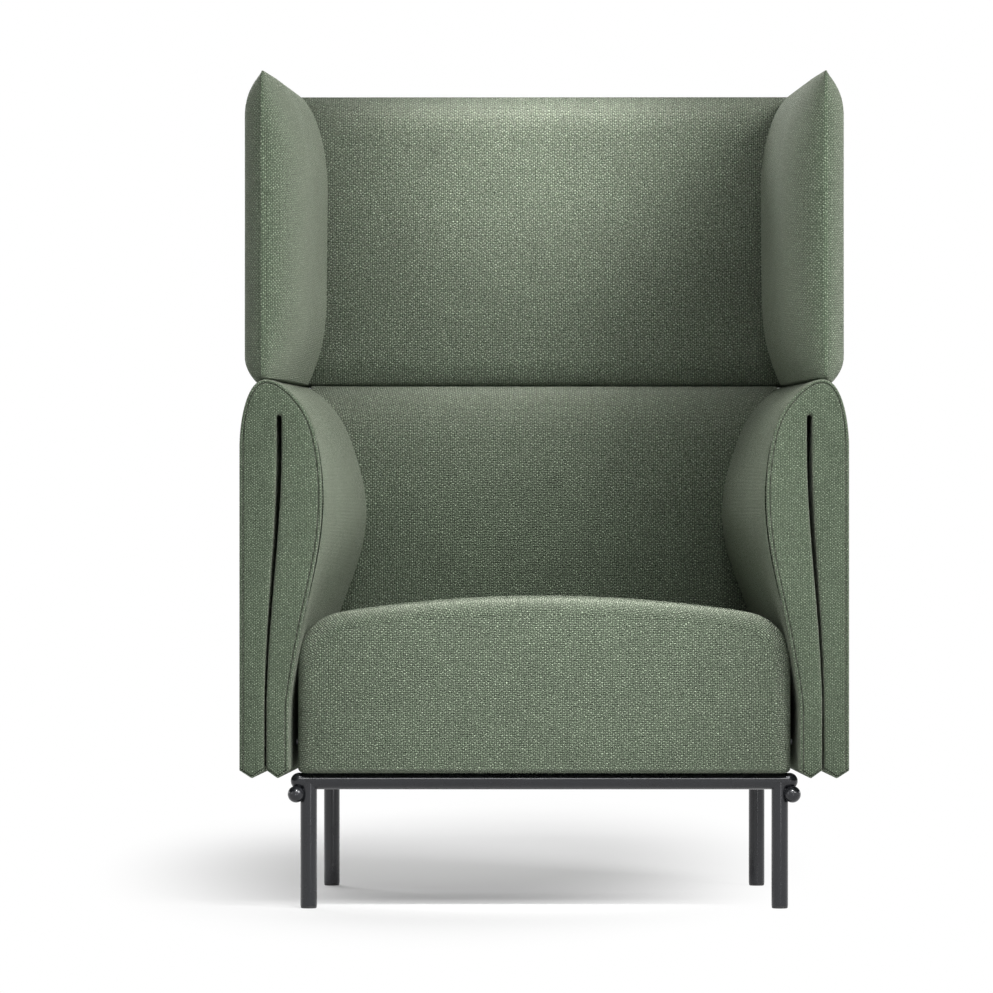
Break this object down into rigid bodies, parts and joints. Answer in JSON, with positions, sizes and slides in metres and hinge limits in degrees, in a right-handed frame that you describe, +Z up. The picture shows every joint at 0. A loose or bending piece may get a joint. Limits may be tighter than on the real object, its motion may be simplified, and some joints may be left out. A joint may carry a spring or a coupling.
{
  "type": "high back lounge chair",
  "caption": "High back lounge chair with folded padded arms, pillow wings and upper back, and a four-legged round steel tube base.",
  "frame": {"origin": "on the floor under the middle of the chair's outline", "axes": "+Z up, -Y is the way the sitter faces, +X to the right as seen from the front"},
  "size_m": [0.911, 0.7542, 1.2545],
  "materials": {
    "green_fabric": "woven wool blend, two tones of sage green",
    "dust_cloth": "black non-woven cloth",
    "foam": "cut polyurethane foam",
    "birch_ply": "sanded birch plywood",
    "webbing": "elastic upholstery webbing",
    "glide_plastic": "black moulded plastic",
    "zinc_steel": "zinc plated",
    "strap_steel": "black paint",
    "graphite_paint": "graphite gloss powder coat"
  },
  "bodies": {
    "root": {"arm_bolts_left": "zinc_steel", "arm_bolts_right": "zinc_steel", "arm_cover_left": "green_fabric", "arm_cover_right": "green_fabric", "arm_foam_left": "foam", "arm_foam_right": "foam", "arm_panel_left": "birch_ply", "arm_panel_right": "birch_ply", "back_bolts": "zinc_steel", "back_straps": "strap_steel", "base_screws": "zinc_steel", "front_cross_rail": "graphite_paint", "glide_front_left": "glide_plastic", "glide_front_right": "glide_plastic", "glide_rear_left": "glide_plastic", "glide_rear_right": "glide_plastic", "leg_front_left": "graphite_paint", "leg_front_right": "graphite_paint", "leg_rear_left": "graphite_paint", "leg_rear_right": "graphite_paint", "lower_back_cover": "green_fabric", "lower_back_foam": "foam", "lower_back_panel": "birch_ply", "rear_cross_rail": "graphite_paint", "seat_cover": "green_fabric", "seat_dust_cover": "dust_cloth", "seat_foam": "foam", "seat_frame": "birch_ply", "seat_tabs": "graphite_paint", "seat_webbing": "webbing", "side_rail_left": "graphite_paint", "side_rail_right": "graphite_paint", "upper_back_cover": "green_fabric", "upper_back_foam_front": "foam", "upper_back_foam_rear": "foam", "upper_back_panel": "birch_ply", "wing_cover_left": "green_fabric", "wing_cover_right": "green_fabric", "wing_foam_inner_left": "foam", "wing_foam_inner_right": "foam", "wing_foam_outer_left": "foam", "wing_foam_outer_right": "foam", "wing_panel_left": "birch_ply", "wing_panel_right": "birch_ply", "wing_straps_left": "strap_steel", "wing_straps_right": "strap_steel"}
  },
  "joints": []
}
